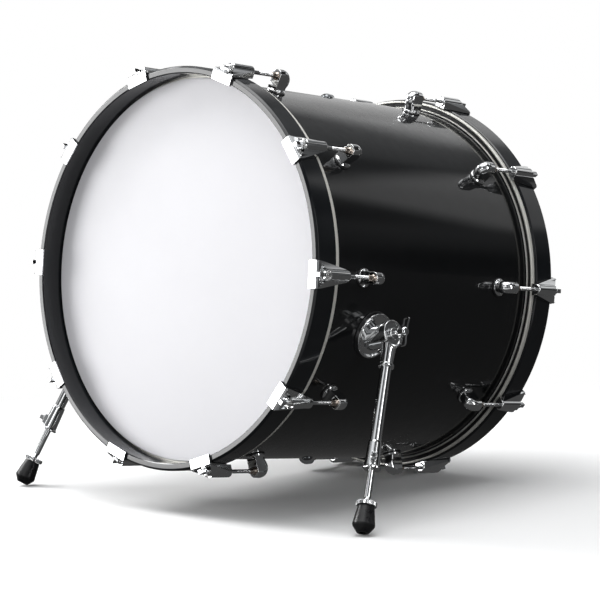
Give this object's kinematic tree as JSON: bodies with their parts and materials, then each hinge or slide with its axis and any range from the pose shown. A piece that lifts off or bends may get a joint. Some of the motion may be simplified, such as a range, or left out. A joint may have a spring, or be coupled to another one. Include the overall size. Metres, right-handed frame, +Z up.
{
  "type": "bass drum",
  "caption": "Gloss black bass drum with a plain white front head, chrome lugs and claw hooks, black hoops, and two folding, telescoping spurs on rubber feet.",
  "frame": {"origin": "middle of the footprint, on the surface that the drum stands on", "axes": "+Z up, -Y towards the resonant (front) head, +X to the right as seen from the front"},
  "size_m": [0.7508, 0.6078, 0.6498],
  "materials": {
    "shell_lacquer": "high-gloss black lacquer over wood ply",
    "hoop_lacquer": "satin-gloss black lacquer over wood ply",
    "drumhead": "smooth white polyester film, satin",
    "batter_drumhead": "coated white polyester film, slightly rough",
    "chrome_hardware": "bright chrome plate",
    "flesh_ring": "satin aluminium, slightly warm",
    "swivel_nut": "coppery brass, dulled",
    "rubber": "black moulded rubber"
  },
  "bodies": {
    "root": {"shell": "shell_lacquer", "air_vent": "chrome_hardware", "resonant_head": "drumhead", "resonant_lug_01": "chrome_hardware", "resonant_lug_02": "chrome_hardware", "resonant_lug_03": "chrome_hardware", "resonant_lug_04": "chrome_hardware", "resonant_lug_05": "chrome_hardware", "resonant_lug_06": "chrome_hardware", "resonant_lug_07": "chrome_hardware", "resonant_lug_08": "chrome_hardware", "resonant_lug_09": "chrome_hardware", "resonant_lug_10": "chrome_hardware", "batter_head": "batter_drumhead", "batter_lug_01": "chrome_hardware", "batter_lug_02": "chrome_hardware", "batter_lug_03": "chrome_hardware", "batter_lug_04": "chrome_hardware", "batter_lug_05": "chrome_hardware", "batter_lug_06": "chrome_hardware", "batter_lug_07": "chrome_hardware", "batter_lug_08": "chrome_hardware", "batter_lug_09": "chrome_hardware", "batter_lug_10": "chrome_hardware", "right_spur_bracket": "chrome_hardware", "left_spur_bracket": "chrome_hardware"},
    "resonant_hoop": {"resonant_hoop": "hoop_lacquer", "resonant_claw_and_rod_01": "chrome_hardware", "resonant_claw_and_rod_02": "chrome_hardware", "resonant_claw_and_rod_03": "chrome_hardware", "resonant_claw_and_rod_04": "chrome_hardware", "resonant_claw_and_rod_05": "chrome_hardware", "resonant_claw_and_rod_06": "chrome_hardware", "resonant_claw_and_rod_07": "chrome_hardware", "resonant_claw_and_rod_08": "chrome_hardware", "resonant_claw_and_rod_09": "chrome_hardware", "resonant_claw_and_rod_10": "chrome_hardware"},
    "batter_hoop": {"batter_hoop": "hoop_lacquer", "batter_claw_and_rod_01": "chrome_hardware", "batter_claw_and_rod_02": "chrome_hardware", "batter_claw_and_rod_03": "chrome_hardware", "batter_claw_and_rod_04": "chrome_hardware", "batter_claw_and_rod_05": "chrome_hardware", "batter_claw_and_rod_06": "chrome_hardware", "batter_claw_and_rod_07": "chrome_hardware", "batter_claw_and_rod_08": "chrome_hardware", "batter_claw_and_rod_09": "chrome_hardware", "batter_claw_and_rod_10": "chrome_hardware"},
    "right_spur": {"right_spur_tube": "chrome_hardware", "right_spur_clamp": "chrome_hardware"},
    "right_wing_bolt": {"right_wing_bolt": "chrome_hardware"},
    "right_inner_leg": {"right_inner_leg": "chrome_hardware"},
    "right_foot": {"right_lock_ring": "chrome_hardware", "right_rubber_foot": "rubber"},
    "left_spur": {"left_spur_tube": "chrome_hardware", "left_spur_clamp": "chrome_hardware"},
    "left_wing_bolt": {"left_wing_bolt": "chrome_hardware"},
    "left_inner_leg": {"left_inner_leg": "chrome_hardware"},
    "left_foot": {"left_lock_ring": "chrome_hardware", "left_rubber_foot": "rubber"}
  },
  "joints": [
    {"name": "resonant_hoop_loosening", "type": "slide", "parent": "root", "child": "resonant_hoop", "axis": [0, -0.9928, 0.1201], "range_m": [0, 0.01]},
    {"name": "batter_hoop_loosening", "type": "slide", "parent": "root", "child": "batter_hoop", "axis": [0, 0.9928, -0.1201], "range_m": [0, 0.01]},
    {"name": "right_spur_fold", "type": "hinge", "parent": "root", "child": "right_spur", "pos_m": [0.3035, -0.12258, 0.26169], "axis": [0.9774, 0.0254, 0.2098], "range_deg": [-15, 105]},
    {"name": "right_wing_bolt_turn", "type": "hinge", "parent": "root", "child": "right_wing_bolt", "pos_m": [0.3035, -0.12258, 0.26169], "axis": [0.9774, 0.0254, 0.2098], "continuous": true},
    {"name": "right_leg_length", "type": "slide", "parent": "right_spur", "child": "right_inner_leg", "axis": [0.1985, -0.4514, -0.87], "range_m": [-0.044, 0.08]},
    {"name": "right_foot_screw", "type": "slide", "parent": "right_inner_leg", "child": "right_foot", "axis": [-0.1985, 0.4514, 0.87], "range_m": [0, 0.005]},
    {"name": "left_spur_fold", "type": "hinge", "parent": "root", "child": "left_spur", "pos_m": [-0.3035, -0.12258, 0.26169], "axis": [0.9774, -0.0254, -0.2098], "range_deg": [-15, 105]},
    {"name": "left_wing_bolt_turn", "type": "hinge", "parent": "root", "child": "left_wing_bolt", "pos_m": [-0.3035, -0.12258, 0.26169], "axis": [-0.9774, 0.0254, 0.2098], "continuous": true},
    {"name": "left_leg_length", "type": "slide", "parent": "left_spur", "child": "left_inner_leg", "axis": [-0.1985, -0.4514, -0.87], "range_m": [-0.044, 0.08]},
    {"name": "left_foot_screw", "type": "slide", "parent": "left_inner_leg", "child": "left_foot", "axis": [0.1985, 0.4514, 0.87], "range_m": [0, 0.005]}
  ]
}
